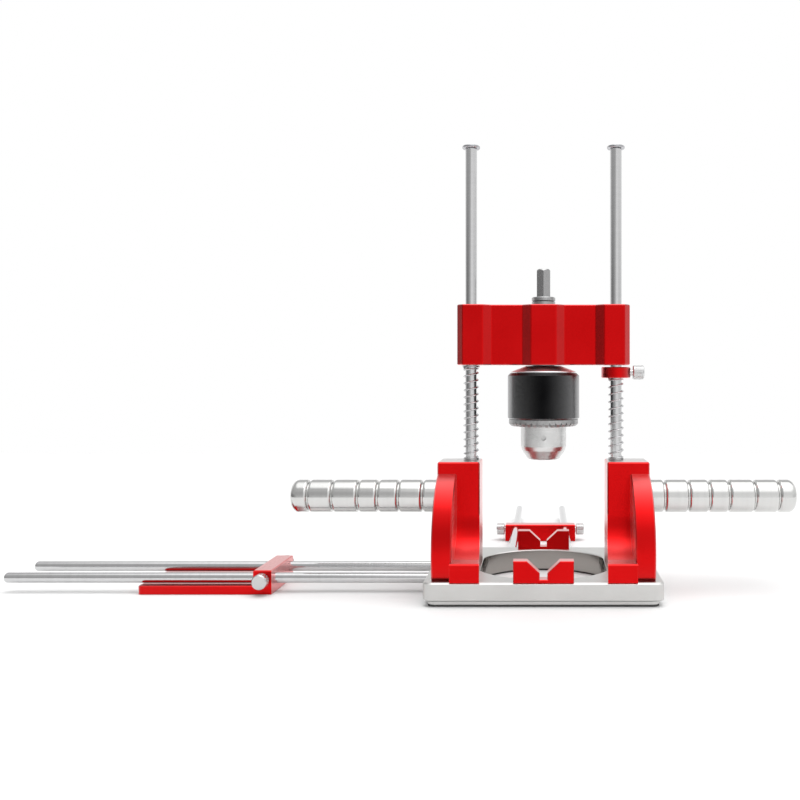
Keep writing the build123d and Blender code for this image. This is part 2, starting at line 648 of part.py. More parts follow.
def jaw_axis_radius(height):
    """How far a jaw's axis is from the spindle axis at a height."""
    return JAW_AXIS_AT_NOSE + (height - CHUCK_NOSE) * math.tan(math.radians(JAW_ANGLE))


def jaw_rod(radius, low, high):
    """A cylinder along the slanted jaw axis, in the plane of +X."""
    tilt = Pos(jaw_axis_radius(CHUCK_NOSE), 0, CHUCK_NOSE) * Rot(0, JAW_ANGLE, 0)
    steep = math.cos(math.radians(JAW_ANGLE))
    start = (low - CHUCK_NOSE) / steep
    end = (high - CHUCK_NOSE) / steep
    return tilt * upright(radius, start, end)


def jaw_turns():
    """The jaws stand at the rear and to both sides of the front."""
    return [90, 210, 330]


def chuck_body():
    """Steel body: cone top, journal, nut groove, nose and three slanted jaw bores."""
    shoulder = NUT_CAVITY_RADIUS - 0.3
    under_cone = SLEEVE_TOP + 0.3
    profile = [(0, CHUCK_TOP), (CONE_TOP_RADIUS, CHUCK_TOP), (CONE_RADIUS - 0.2, under_cone + 0.6),
               (CONE_RADIUS, under_cone + 0.3), (CONE_RADIUS, under_cone), (shoulder, under_cone),
               (shoulder, NUT_TOP + 0.8), (NUT_GROOVE_RADIUS, NUT_TOP + 0.8),
               (NUT_GROOVE_RADIUS, NUT_BOTTOM - 0.8), (CHUCK_JOURNAL, NUT_BOTTOM - 0.8),
               (CHUCK_JOURNAL, GEAR_BOTTOM - 0.3), (CHUCK_NOSE_RADIUS + 0.3, GEAR_BOTTOM - 0.3),
               (CHUCK_NOSE_RADIUS, GEAR_BOTTOM - 0.6), (CHUCK_NOSE_RADIUS, CHUCK_TAPER_TOP),
               (CHUCK_NOSE_RADIUS - 0.7, CHUCK_TAPER_TOP - 2.4), (CHUCK_TIP_RADIUS + 0.5, CHUCK_NOSE + 0.6),
               (CHUCK_TIP_RADIUS - 0.4, CHUCK_NOSE), (0, CHUCK_NOSE)]
    body = turned(profile)
    body -= upright(SHAFT_THREAD_RADIUS, SHAFT_BOTTOM - 1, CHUCK_TOP + 1)
    body -= upright(JAW_GRIP_RADIUS + 0.6, CHUCK_NOSE - 1, 112)
    for turn in jaw_turns():
        body -= Rot(0, 0, turn) * jaw_rod(JAW_RADIUS + RUNNING_CLEARANCE, CHUCK_NOSE - 4, NUT_TOP + 0.4)
    for turn in jaw_turns():
        key_hole = along_x(KEY_HOLE_RADIUS, CHUCK_NOSE_RADIUS - 4.5, CHUCK_NOSE_RADIUS + 1, 0,
                           KEY_HOLE_HEIGHT)
        body -= Rot(0, 0, turn + 180) * key_hole
    return body


def chuck_jaw():
    """One jaw in the plane of +X: a slanted rod cut to a wedge with a concave grip."""
    rod = jaw_rod(JAW_RADIUS, JAW_BOTTOM - 4, JAW_TOP + 4)
    rod &= block((0, 30), (-20, 20), (JAW_BOTTOM, JAW_TOP))
    reach = 20.0
    spread = JAW_GRIP_HALF_WIDTH + (reach - JAW_GRIP_RADIUS) * math.tan(math.radians(60))
    start = JAW_GRIP_RADIUS - 0.6
    near = JAW_GRIP_HALF_WIDTH - 0.6 * math.tan(math.radians(60))
    wedge = make_face(Polyline([(start, -near, JAW_BOTTOM - 1), (reach, -spread, JAW_BOTTOM - 1),
                                (reach, spread, JAW_BOTTOM - 1), (start, near, JAW_BOTTOM - 1)],
                               close=True))
    jaw = rod & extrude(wedge, JAW_TOP - JAW_BOTTOM + 2, dir=(0, 0, 1))
    return jaw - upright(JAW_GRIP_RADIUS, JAW_BOTTOM - 1, JAW_TOP + 1)


def chuck_sleeve():
    """The black outer sleeve that the hand or key turns."""
    bore = CHUCK_JOURNAL + RUNNING_CLEARANCE
    return turned([(bore, SLEEVE_BOTTOM), (SLEEVE_RADIUS - 1.0, SLEEVE_BOTTOM),
                   (SLEEVE_RADIUS, SLEEVE_BOTTOM + 1.0), (SLEEVE_RADIUS, SLEEVE_TOP - 1.6),
                   (SLEEVE_RADIUS - 1.6, SLEEVE_TOP), (NUT_CAVITY_RADIUS, SLEEVE_TOP),
                   (NUT_CAVITY_RADIUS, NUT_BOTTOM - 0.8),
                   (bore, NUT_BOTTOM - 0.8)])


def chuck_nut():
    """The split nut inside the sleeve that drives the jaws."""
    ring = upright(NUT_CAVITY_RADIUS, NUT_BOTTOM, NUT_TOP) - upright(NUT_BORE, NUT_BOTTOM - 1, NUT_TOP + 1)
    return ring - block((-0.3, 0.3), (-20, 20), (NUT_BOTTOM - 1, NUT_TOP + 1))


def chuck_gear_ring():
    """The toothed ring under the sleeve that the chuck key drives."""
    bore = CHUCK_JOURNAL + RUNNING_CLEARANCE
    outer = SLEEVE_RADIUS - 0.7
    ring = turned([(bore, GEAR_BOTTOM), (outer - 1.4, GEAR_BOTTOM), (outer, GEAR_BOTTOM + 1.4),
                   (outer, SLEEVE_BOTTOM), (bore, SLEEVE_BOTTOM)])
    depth = 2.3
    half_gap = math.pi * outer / GEAR_TEETH * 0.5
    notch = make_face(Polyline([(outer + 1, -half_gap * 1.15, GEAR_BOTTOM - 0.4),
                                (outer + 1, -0.25, GEAR_BOTTOM + depth),
                                (outer + 1, 0.25, GEAR_BOTTOM + depth),
                                (outer + 1, half_gap * 1.15, GEAR_BOTTOM - 0.4)], close=True))
    cutter = extrude(notch, 4.2, dir=(-1, 0, 0))
    cutters = [Rot(0, 0, 360 * index / GEAR_TEETH) * cutter for index in range(GEAR_TEETH)]
    return ring - cutters


# ---------------------------------------------------------------- handles

def lobe(start, end, start_round, end_round):
    """One straight lobe along X with rounded shoulders, from axis to surface."""
    body = along_x(HANDLE_RADIUS, start, end, 0, HANDLE_HEIGHT)
    rims = body.edges().filter_by(GeomType.CIRCLE).sort_by(Axis.X)
    if start_round:
        body = fillet(rims[0], start_round)
    rims = body.edges().filter_by(GeomType.CIRCLE).sort_by(Axis.X)
    return fillet(rims[-1], end_round)


def right_handle():
    """A turned grip along +X: a core with lobes of the stated lengths, counted from its end."""
    core_radius = HANDLE_RADIUS - HANDLE_GROOVE_DEPTH
    grip = along_x(core_radius, BRACKET_OUTER, HANDLE_END - 2, 0, HANDLE_HEIGHT)
    gap = HANDLE_GROOVE_WIDTH / 2
    end = HANDLE_END
    for index, length in enumerate(HANDLE_LOBES):
        outer_gap = 0 if index == 0 else gap
        end_round = HANDLE_END_ROUND if index == 0 else HANDLE_SHOULDER
        grip += lobe(end - length + gap, end - outer_gap, HANDLE_SHOULDER, end_round)
        end -= length
    grip += lobe(BRACKET_OUTER, end - gap, 0, HANDLE_SHOULDER)
    return grip - along_x(HANDLE_STUD_RADIUS, BRACKET_OUTER - 1, BRACKET_OUTER + 18, 0, HANDLE_HEIGHT)


def handle_studs():
    stud = along_x(HANDLE_STUD_RADIUS - 0.02, BRACKET_OUTER - 11.5, BRACKET_OUTER + 16, 0, HANDLE_HEIGHT)
    stud = chamfer(stud.edges().filter_by(GeomType.CIRCLE), 0.6)
    return [stud, mirrored_x(stud)]


# ---------------------------------------------------------------- assembly

def main():
    os.makedirs("parts", exist_ok=True)

    save("base_plate", base_plate())
    save("base_pad", base_pad())
    v_block = front_v_block()
    save("front_v_block", v_block)
    save("rear_v_block", mirror(v_block, Plane.XZ))
    save("v_block_screws", *[countersunk_screw(x=x, y=y, socket=2.0, **V_SCREW)
                             for x, y in v_screw_places()])
    bracket = right_bracket()
    save("right_bracket", bracket)
    save("left_bracket", mirrored_x(bracket))
    save("bracket_screws", *[countersunk_screw(x=x, y=y, socket=3.0, **BRACKET_SCREW)
                             for x, y in bracket_screw_places()])
    for name, y in side_rod_ys().items():
        save(name, side_rod(y))
    for name, x in rear_rod_xs().items():
        save(name, rear_rod(x))
    save("rod_set_screws", *rod_set_screws())
    save("column_set_screws", *column_set_screws())

    guide_rod = right_guide_rod()
    save("right_guide_rod", guide_rod)
    save("left_guide_rod", mirrored_x(guide_rod))
    save("guide_rod_washers", *end_washers())
    save("guide_rod_screws", *end_screws())
    handle = right_handle()
    save("right_handle", handle)
    save("left_handle", mirrored_x(handle))
    save("handle_studs", *handle_studs())
    save("left_spring", compression_spring(CARRIAGE_BOTTOM - SEAT_GAP - SEAT_WASHER_THICKNESS,
                                           -GUIDE_ROD_X))
    save("right_spring", compression_spring(STOP_COLLAR_BOTTOM, GUIDE_ROD_X))

    save("spring_seat_washer", seat_washer())
    save("stop_collar", stop_collar())
    save("stop_collar_screw", stop_collar_screw())

    save("carriage", carriage())
    save("guide_bushes", *guide_bushes())
    save("bearing_outer_rings", *[bearing_ring(9.2, BEARING_OUTER, low) for low in BEARING_BOTTOMS])
    save("bearing_inner_rings", *[bearing_ring(BEARING_BORE, 6.8, low) for low in BEARING_BOTTOMS])
    save("bearing_balls", *bearing_balls())
    save("bearing_circlips", *bearing_circlips())

    save("drive_shaft", drive_shaft())
    save("shaft_collar", shaft_collar())
    save("shaft_collar_screw", shaft_collar_screw())
    save("chuck_body", chuck_body())
    save("chuck_sleeve", chuck_sleeve())
    save("chuck_nut", chuck_nut())
    save("chuck_gear_ring", chuck_gear_ring())
    jaw = chuck_jaw()
    for number, turn in enumerate(jaw_turns(), start=1):
        save(f"chuck_jaw_{number}", Rot(0, 0, turn) * jaw)

    side_fence = fence(SIDE_FENCE_LENGTH, SIDE_FENCE_WIDTH, SIDE_FENCE_HEIGHT, SIDE_ROD_SPACING)
    rear_fence = fence(REAR_FENCE_LENGTH, REAR_FENCE_WIDTH, REAR_FENCE_HEIGHT, REAR_ROD_SPACING)
    save("side_fence", place_side(side_fence))
    side_screw = fence_screw(SIDE_FENCE_WIDTH, SIDE_ROD_SPACING)
    save("side_fence_screw_rear", place_side(side_screw))
    save("side_fence_screw_front", place_side(mirror(side_screw, Plane.XZ)))
    save("rear_fence", place_rear(rear_fence))
    rear_screw = fence_screw(REAR_FENCE_WIDTH, REAR_ROD_SPACING)
    save("rear_fence_screw_right", place_rear(rear_screw))
    save("rear_fence_screw_left", place_rear(mirror(rear_screw, Plane.XZ)))


main()
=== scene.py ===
import math

import bmesh
import bpy
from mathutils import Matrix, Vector


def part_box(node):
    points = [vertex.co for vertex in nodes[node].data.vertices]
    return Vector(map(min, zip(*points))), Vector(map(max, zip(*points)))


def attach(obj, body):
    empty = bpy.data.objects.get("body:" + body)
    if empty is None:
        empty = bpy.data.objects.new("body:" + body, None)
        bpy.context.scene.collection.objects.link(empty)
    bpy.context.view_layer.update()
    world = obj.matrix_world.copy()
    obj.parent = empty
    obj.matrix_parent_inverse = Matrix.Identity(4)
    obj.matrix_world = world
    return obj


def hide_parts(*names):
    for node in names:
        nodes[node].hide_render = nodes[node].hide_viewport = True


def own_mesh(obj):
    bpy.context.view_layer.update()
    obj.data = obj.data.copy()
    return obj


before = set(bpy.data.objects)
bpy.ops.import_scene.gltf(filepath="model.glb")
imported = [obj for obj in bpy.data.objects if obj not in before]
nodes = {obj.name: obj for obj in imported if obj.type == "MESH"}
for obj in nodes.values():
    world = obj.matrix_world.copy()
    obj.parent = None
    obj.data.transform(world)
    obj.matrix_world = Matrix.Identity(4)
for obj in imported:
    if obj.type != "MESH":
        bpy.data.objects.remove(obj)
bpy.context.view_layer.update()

MM = 0.001

# Places on the model where a finish or a painted shade changes, in metres.
WELL_RADIUS = 0.0413
WELL_MASK_END = 0.0416
CONE_BOTTOM = 0.1278
CONE_MASK_END = 0.1284

SPRING_WIRE_RADIUS = 0.5 * MM
SPRING_PITCH = 4.3 * MM
# Added at each end of a spring, because the CAD spring stops just short of its seats.
SPRING_REACH = 0.04 * MM
# Height of the wire's centre above a ground end, in wire radii.
GROUND_END = 0.6

FLOOR_SIZE = 0.9
CAMERA_PLACE = (0.0, -0.5174, 0.125)
CAMERA_LENS = 38.7
CAMERA_SHIFT = (-0.1794, -0.0275)

# Sockets of a Mix node that is set to colours.
MIX_FIRST = 6
MIX_SECOND = 7
MIX_RESULT = 2


# ------------------------------------------------------------------ material building

class Look:
    """A metal or rubber material, built up from a few node helpers."""

    def __init__(self, name, metallic, **fixed):
        self.material = bpy.data.materials.new(name)
        self.material.use_nodes = True
        self.tree = self.material.node_tree
        self.tree.nodes.clear()
        output = self.node("ShaderNodeOutputMaterial")
        self.shader = self.node("ShaderNodeBsdfPrincipled")
        self.tree.links.new(self.shader.outputs["BSDF"], output.inputs["Surface"])
        self.place = self.node("ShaderNodeTexCoord").outputs["Object"]
        self.shader.inputs["Metallic"].default_value = metallic
        for socket, value in fixed.items():
            self.shader.inputs[socket.replace("_", " ")].default_value = value

    def node(self, kind, **values):
        made = self.tree.nodes.new(kind)
        for key, value in values.items():
            setattr(made, key, value)
        return made

    def set(self, socket, source):
        self.tree.links.new(source, self.shader.inputs[socket])

    def feed(self, target, source):
        """Link a socket, or set it if the source is a plain value."""
        if isinstance(source, (int, float, tuple)):
            target.default_value = source
        else:
            self.tree.links.new(source, target)

    def stretch(self, scale):
        mapping = self.node("ShaderNodeMapping")
        mapping.inputs["Scale"].default_value = scale
        self.feed(mapping.inputs["Vector"], self.place)
        return mapping.outputs["Vector"]

    def noise(self, scale, detail=3.0, roughness=0.55):
        """Noise whose grain is 1/scale metres along each axis."""
        scales = scale if isinstance(scale, tuple) else (scale, scale, scale)
        texture = self.node("ShaderNodeTexNoise")
        self.feed(texture.inputs["Vector"], self.stretch(scales))
        texture.inputs["Scale"].default_value = 1.0
        texture.inputs["Detail"].default_value = detail
        texture.inputs["Roughness"].default_value = roughness
        return texture.outputs["Fac"]

    def spread(self, source, low, high, to_low, to_high):
        made = self.node("ShaderNodeMapRange")
        self.feed(made.inputs["Value"], source)
        ends = {"From Min": low, "From Max": high, "To Min": to_low, "To Max": to_high}
        for key, value in ends.items():
            made.inputs[key].default_value = value
        return made.outputs["Result"]

    def vary(self, noise, to_low, to_high):
        """Follow a noise between two values. Most of a noise lies between 0.3 and 0.7."""
        return self.spread(noise, 0.3, 0.7, to_low, to_high)

    def math(self, operation, first, second=0.0):
        made = self.node("ShaderNodeMath", operation=operation)
        self.feed(made.inputs[0], first)
        self.feed(made.inputs[1], second)
        return made.outputs["Value"]

    def mix(self, share, first, second):
        made = self.node("ShaderNodeMix", data_type="RGBA")
        self.feed(made.inputs["Factor"], share)
        for index, colour in ((MIX_FIRST, first), (MIX_SECOND, second)):
            self.feed(made.inputs[index], (*colour, 1.0) if isinstance(colour, tuple) else colour)
        return made.outputs[MIX_RESULT]

    def mottle(self, noise, first, second):
        """A colour that wanders between two others with a noise."""
        return self.mix(self.vary(noise, 0.0, 1.0), first, second)

    def edge_wear_and_highlight(self, radius, share, under, edge_colour):
        """Blend a share of a lighter colour over another one along the sharp edges. It is a
        painted edge highlight, and in part worn metal.
        """
        return self.mix(self.spread(self.edge(radius), 0.1, 1.0, 0.0, share), under, edge_colour)

    def height(self):
        """Height above the floor, in metres, of a part at rest."""
        split = self.node("ShaderNodeSeparateXYZ")
        self.feed(split.inputs["Vector"], self.place)
        return split.outputs["Z"]

    def off_axis(self):
        """Distance from the drilling axis, in metres."""
        length = self.node("ShaderNodeVectorMath", operation="LENGTH")
        self.feed(length.inputs[0], self.stretch((1.0, 1.0, 0.0)))
        return length.outputs["Value"]

    def facing(self, power, top=1.0):
        """0 where a surface is seen face on, rising to a top value where it is seen edge on."""
        layer = self.node("ShaderNodeLayerWeight")
        layer.inputs["Blend"].default_value = 0.5
        return self.math("MULTIPLY", self.math("POWER", layer.outputs["Facing"], power), top)

    def upward(self):
        """1 on faces that look straight up, 0 on upright faces."""
        split = self.node("ShaderNodeSeparateXYZ")
        geometry = self.node("ShaderNodeNewGeometry")
        self.feed(split.inputs["Vector"], geometry.outputs["True Normal"])
        return self.math("MAXIMUM", split.outputs["Z"], 0.0)

    def bump(self, source, depth, strength=1.0, under=None):
        made = self.node("ShaderNodeBump")
        made.inputs["Strength"].default_value = strength
        made.inputs["Distance"].default_value = depth
        self.feed(made.inputs["Height"], source)
        if under is not None:
            self.feed(made.inputs["Normal"], under)
        return made.outputs["Normal"]

    def edge(self, radius):
        """0 on flat ground and near 1 on a sharp edge, within a radius."""
        bevel = self.node("ShaderNodeBevel", samples=6)
        bevel.inputs["Radius"].default_value = radius
        geometry = self.node("ShaderNodeNewGeometry")
        dot = self.node("ShaderNodeVectorMath", operation="DOT_PRODUCT")
        self.feed(dot.inputs[0], bevel.outputs["Normal"])
        self.feed(dot.inputs[1], geometry.outputs["Normal"])
        return self.spread(dot.outputs["Value"], 1.0, 0.75, 0.0, 1.0)


def red_anodised(name="red_anodised", bare_tops=False):
    """Dyed anodised aluminium: a red metal, with a painted white reflection mixed into its colour
    where it is seen at a grazing angle. The brackets' upward flats can be undyed metal, faced
    after the dyeing."""
    look = Look(name, 1.0)
    cloud = look.noise(28, 2.0)
    grain = look.noise(5200, 2.0)
    lines = look.noise((60, 60, 4200), 2.0)
    red = look.mottle(cloud, (0.585, 0.005, 0.006), (0.645, 0.007, 0.008))
    # Painted edge highlight: the sharp edges are a lighter red.
    red = look.edge_wear_and_highlight(0.35 * MM, 0.45, red, (0.95, 0.16, 0.15))
    # Painted reflection: the red goes over to near white where the surface is seen at a grazing
    # angle.
    red = look.mix(look.facing(2.0, 0.55), red, (1.0, 0.97, 0.96))
    if bare_tops:
        flat = look.spread(look.upward(), 0.998, 0.9995, 0.0, 1.0)
        red = look.mix(flat, red, (0.62, 0.60, 0.59))
    look.set("Base Color", red)
    rough = look.math("ADD", look.vary(grain, 0.24, 0.30), look.vary(cloud, 0.0, 0.03))
    look.set("Roughness", rough)
    look.set("Normal", look.bump(lines, 0.002 * MM, 0.25, look.bump(grain, 0.006 * MM, 0.35)))
    return look.material


def satin_aluminium():
    """Aluminium brushed along X. Inside the well the upright faces are smoother, and painted
    darker as shade.
    """
    look = Look("satin_aluminium", 1.0)
    cloud = look.noise(35, 3.0)
    grain = look.noise(4800, 2.0)
    brushed = look.noise((25, 3600, 3600), 2.0)
    grey = look.mottle(cloud, (0.58, 0.58, 0.567), (0.63, 0.63, 0.617))
    grey = look.edge_wear_and_highlight(0.5 * MM, 0.6, grey, (0.9, 0.9, 0.89))
    inside = look.spread(look.off_axis(), WELL_RADIUS, WELL_MASK_END, 1.0, 0.0)
    upright = look.spread(look.upward(), 0.2, 0.5, 1.0, 0.0)
    well_painted_shade_and_smoothness = look.math("MULTIPLY", inside, upright)
    # Painted shade: the upright faces inside the well get a darker grey.
    look.set("Base Color", look.mix(well_painted_shade_and_smoothness, grey, (0.36, 0.35, 0.33)))
    rough = look.math("ADD", look.vary(grain, 0.30, 0.40), look.vary(brushed, -0.03, 0.04))
    look.set("Roughness", look.math("MULTIPLY", rough, look.spread(well_painted_shade_and_smoothness, 0.0, 1.0, 1.0, 0.45)))
    look.set("Normal", look.bump(brushed, 0.004 * MM, 0.4, look.bump(grain, 0.014 * MM, 0.5)))
    return look.material


def turned_steel(name, axis, colour, rough, line_depth=0.004):
    """Steel with fine lathe or grinding lines round one axis. Their depth is in millimetres."""
    look = Look(name, 1.0)

    def stretched(along, across):
        return tuple(along if letter == axis else across for letter in "XYZ")

    lines = look.noise(stretched(4200, 45), 3.0, 0.6)
    broad = look.noise(stretched(420, 20), 2.0)
    steel = look.mottle(broad, tuple(part * 0.95 for part in colour), colour)
    look.set("Base Color", look.edge_wear_and_highlight(0.3 * MM, 0.3, steel, (0.95, 0.95, 0.95)))
    look.set("Roughness", look.vary(lines, rough - 0.02, rough + 0.03))
    look.set("Normal", look.bump(lines, line_depth * MM, 0.12))
    return look.material


def plain_steel(name, colour, rough):
    """Small zinc plated or ground steel pieces with an even fine grain."""
    look = Look(name, 1.0)
    grain = look.noise(3500, 3.0)
    cloud = look.noise(300, 2.0)
    steel = look.mottle(cloud, tuple(part * 0.8 for part in colour), colour)
    look.set("Base Color", look.edge_wear_and_highlight(0.2 * MM, 0.4, steel, (0.9, 0.9, 0.9)))
    look.set("Roughness", look.vary(grain, rough - 0.05, rough + 0.08))
    look.set("Normal", look.bump(grain, 0.006 * MM, 0.5))
    return look.material


def chuck_steel():
    """Chrome on the cone at the top, ground steel below it."""
    look = Look("chuck_steel", 1.0)
    cone = look.spread(look.height(), CONE_BOTTOM, CONE_MASK_END, 0.0, 1.0)
    rings = look.noise((60, 60, 3600), 3.0, 0.6)
    cloud = look.noise(180, 2.0)
    nose = look.mottle(cloud, (0.62, 0.62, 0.615), (0.69, 0.69, 0.685))
    nose = look.edge_wear_and_highlight(0.3 * MM, 0.5, nose, (0.92, 0.92, 0.92))
    look.set("Base Color", look.mix(cone, nose, (0.83, 0.83, 0.84)))
    nose_rough = look.vary(rings, 0.26, 0.34)
    cone_rough = look.spread(cone, 0.0, 1.0, 0.0, 0.30)
    look.set("Roughness", look.math("MAXIMUM", nose_rough, cone_rough))
    look.set("Normal", look.bump(rings, 0.003 * MM, 0.15))
    return look.material


def black_oxide():
    """A black oxide finish: near black face on, with a smooth grey sheen painted into its colour
    towards the sides.
    """
    look = Look("black_oxide", 1.0)
    grain = look.noise(3800, 3.0)
    rings = look.noise((40, 40, 2600), 2.0)
    cloud = look.noise(90, 2.0)
    not_upward = look.spread(look.upward(), 0.0, 0.5, 1.0, 0.1)
    # Painted sheen: grey at grazing angles on the upright faces, much less on the upward ones.
    sheen = look.math("MULTIPLY", look.facing(1.0), not_upward)
    black = look.mottle(cloud, (0.0055, 0.0055, 0.006), (0.009, 0.009, 0.0095))
    black = look.mix(sheen, black, (0.42, 0.42, 0.425))
    rubbed = look.spread(look.noise(900, 3.0), 0.42, 0.62, 0.0, 0.8)
    worn = look.math("MULTIPLY", look.edge(0.4 * MM), rubbed)
    look.set("Base Color", look.mix(worn, black, (0.22, 0.22, 0.22)))
    look.set("Roughness", look.vary(grain, 0.22, 0.30))
    look.set("Normal", look.bump(rings, 0.003 * MM, 0.2, look.bump(grain, 0.004 * MM, 0.2)))
    return look.material


def black_rubber():
    look = Look("black_rubber", 0.0, Specular_IOR_Level=0.3)
    grain = look.noise(2600, 4.0)
    cloud = look.noise(60, 2.0)
    look.set("Base Color", look.mottle(cloud, (0.070, 0.070, 0.070), (0.095, 0.095, 0.094)))
    look.set("Roughness", look.vary(grain, 0.7, 0.9))
    look.set("Normal", look.bump(grain, 0.03 * MM, 0.7))
    return look.material


def bronze():
    """Sintered bronze with dark pores."""
    look = Look("bronze", 1.0)
    pores = look.noise(2400, 4.0)
    rings = look.noise((60, 60, 3000), 2.0)
    share = look.spread(pores, 0.35, 0.6, 0.0, 1.0)
    look.set("Base Color", look.mix(share, (0.30, 0.17, 0.06), (0.62, 0.38, 0.15)))
    look.set("Roughness", look.vary(pores, 0.28, 0.42))
    look.set("Normal", look.bump(rings, 0.005 * MM, 0.5, look.bump(pores, 0.008 * MM, 0.5)))
    return look.material


def paper_floor():
    look = Look("paper_floor", 0.0, Specular_IOR_Level=0.15)
    fibre = look.noise(400, 3.0)
    look.set("Base Color", look.mottle(fibre, (0.775, 0.775, 0.775), (0.785, 0.785, 0.785)))
    look.set("Roughness", look.vary(fibre, 0.45, 0.6))
    return look.material


STEEL = (0.63, 0.63, 0.635)
red = red_anodised()
bracket_red = red_anodised("bracket_red", bare_tops=True)
rods_x = turned_steel("rod_steel_x", "X", STEEL, 0.13, 0.002)
rods_y = turned_steel("rod_steel_y", "Y", STEEL, 0.13, 0.002)
rods_z = turned_steel("rod_steel_z", "Z", STEEL, 0.13, 0.002)
handle_steel = turned_steel("handle_steel", "X", (0.66, 0.66, 0.65), 0.14, 0.003)
shaft_steel = turned_steel("shaft_steel", "Z", (0.42, 0.42, 0.42), 0.27, 0.006)
thumb_x = turned_steel("thumbscrew_steel_x", "X", (0.6, 0.6, 0.6), 0.22)
thumb_y = turned_steel("thumbscrew_steel_y", "Y", (0.6, 0.6, 0.6), 0.22)
gear_steel = plain_steel("gear_steel", (0.42, 0.42, 0.42), 0.30)
screw_steel = plain_steel("screw_steel", (0.52, 0.52, 0.54), 0.25)
bearing_steel = plain_steel("bearing_steel", (0.62, 0.63, 0.65), 0.14)
wire_steel = plain_steel("spring_wire", (0.66, 0.66, 0.67), 0.2)

FINISH = {
    "base_plate": satin_aluminium(),
    "base_pad": black_rubber(),
    "chuck_body": chuck_steel(),
    "chuck_sleeve": black_oxide(),
    "chuck_gear_ring": gear_steel,
    "guide_bushes": bronze(),
    "stop_collar_screw": thumb_x,
    "rear_fence_screw_left": thumb_x,
    "rear_fence_screw_right": thumb_x,
    "side_fence_screw_front": thumb_y,
    "side_fence_screw_rear": thumb_y,
}
GROUPS = [
    (red, ["front_v_block", "rear_v_block", "carriage", "stop_collar", "side_fence",
           "rear_fence"]),
    (bracket_red, ["left_bracket", "right_bracket"]),
    (rods_x, ["side_rod_front", "side_rod_rear"]),
    (rods_y, ["rear_rod_left", "rear_rod_right"]),
    (rods_z, ["left_guide_rod", "right_guide_rod"]),
    (handle_steel, ["left_handle", "right_handle"]),
    (shaft_steel, ["drive_shaft", "shaft_collar", "chuck_nut", "chuck_jaw_1", "chuck_jaw_2",
                   "chuck_jaw_3"]),
    (screw_steel, ["v_block_screws", "bracket_screws", "rod_set_screws", "column_set_screws",
                   "guide_rod_washers", "guide_rod_screws", "handle_studs", "spring_seat_washer",
                   "shaft_collar_screw"]),
    (bearing_steel, ["bearing_outer_rings", "bearing_inner_rings", "bearing_balls"]),
    (wire_steel, ["left_spring", "right_spring", "bearing_circlips"]),
]
for material, members in GROUPS:
    for member in members:
        FINISH[member] = material
for name, material in FINISH.items():
    data = nodes[name].data
    data.materials.clear()
    data.materials.append(material)


# ------------------------------------------------------------------ springs

def spring_mesh(name, centre, low, high, mean_radius, wire_radius, active_turns):
    """A coil spring with one closed turn and a ground flat at each end."""
    steps_per_turn = 40
    ring = 14
    total_turns = active_turns + 2
    steps = int(total_turns * steps_per_turn)
    bottom = low + wire_radius * GROUND_END
    closed_rise = 2 * wire_radius
    active_rise = (high - low) - 2 * GROUND_END * wire_radius - 2 * closed_rise
    mesh = bmesh.new()
    rings = []
    for step in range(steps + 1):
        turn = step / steps_per_turn
        if turn < 1:
            rise = closed_rise * turn
        elif turn < 1 + active_turns:
            rise = closed_rise + active_rise * (turn - 1) / active_turns
        else:
            rise = closed_rise + active_rise + closed_rise * (turn - 1 - active_turns)
        angle = math.tau * turn
        out = Vector((math.cos(angle), math.sin(angle), 0))
        middle = Vector((centre[0], centre[1], bottom + rise)) + out * mean_radius
        loop = []
        for index in range(ring):
            around = math.tau * index / ring
            point = middle + out * (wire_radius * math.cos(around))
            point.z = min(max(point.z + wire_radius * math.sin(around), low), high)
            loop.append(mesh.verts.new(point))
        rings.append(loop)
    for first, second in zip(rings, rings[1:]):
        for index in range(ring):
            after = (index + 1) % ring
            mesh.faces.new((first[index], first[after], second[after], second[index]))
    mesh.faces.new(rings[0])
    mesh.faces.new(list(reversed(rings[-1])))
    bmesh.ops.recalc_face_normals(mesh, faces=mesh.faces)
    data = bpy.data.meshes.new(name)
    mesh.to_mesh(data)
    mesh.free()
    for face in data.polygons:
        face.use_smooth = True
    data.materials.append(wire_steel)
    piece = bpy.data.objects.new(name, data)
    bpy.context.scene.collection.objects.link(piece)
    return piece


def coil_spring(name, node):
    """Replace a CAD spring by one with closed ends."""
    low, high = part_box(node)
    centre = ((low.x + high.x) / 2, (low.y + high.y) / 2)
    mean_radius = (high.x - low.x) / 2 - SPRING_WIRE_RADIUS
    seat = low.z - SPRING_REACH
    top = high.z + SPRING_REACH
    turns = round((top - seat) / SPRING_PITCH) - 0.5
    piece = spring_mesh(name, centre, seat, top, mean_radius, SPRING_WIRE_RADIUS, turns)
    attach(piece, "base")
    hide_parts(node)
    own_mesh(piece)


coil_spring("left_coil_spring", "left_spring")
coil_spring("right_coil_spring", "right_spring")


# ------------------------------------------------------------------ stage, light and camera

def floor():
    mesh = bmesh.new()
    bmesh.ops.create_grid(mesh, x_segments=4, y_segments=4, size=FLOOR_SIZE)
    data = bpy.data.meshes.new("floor")
    mesh.to_mesh(data)
    mesh.free()
    data.materials.append(paper_floor())
    piece = bpy.data.objects.new("floor", data)
    bpy.context.scene.collection.objects.link(piece)


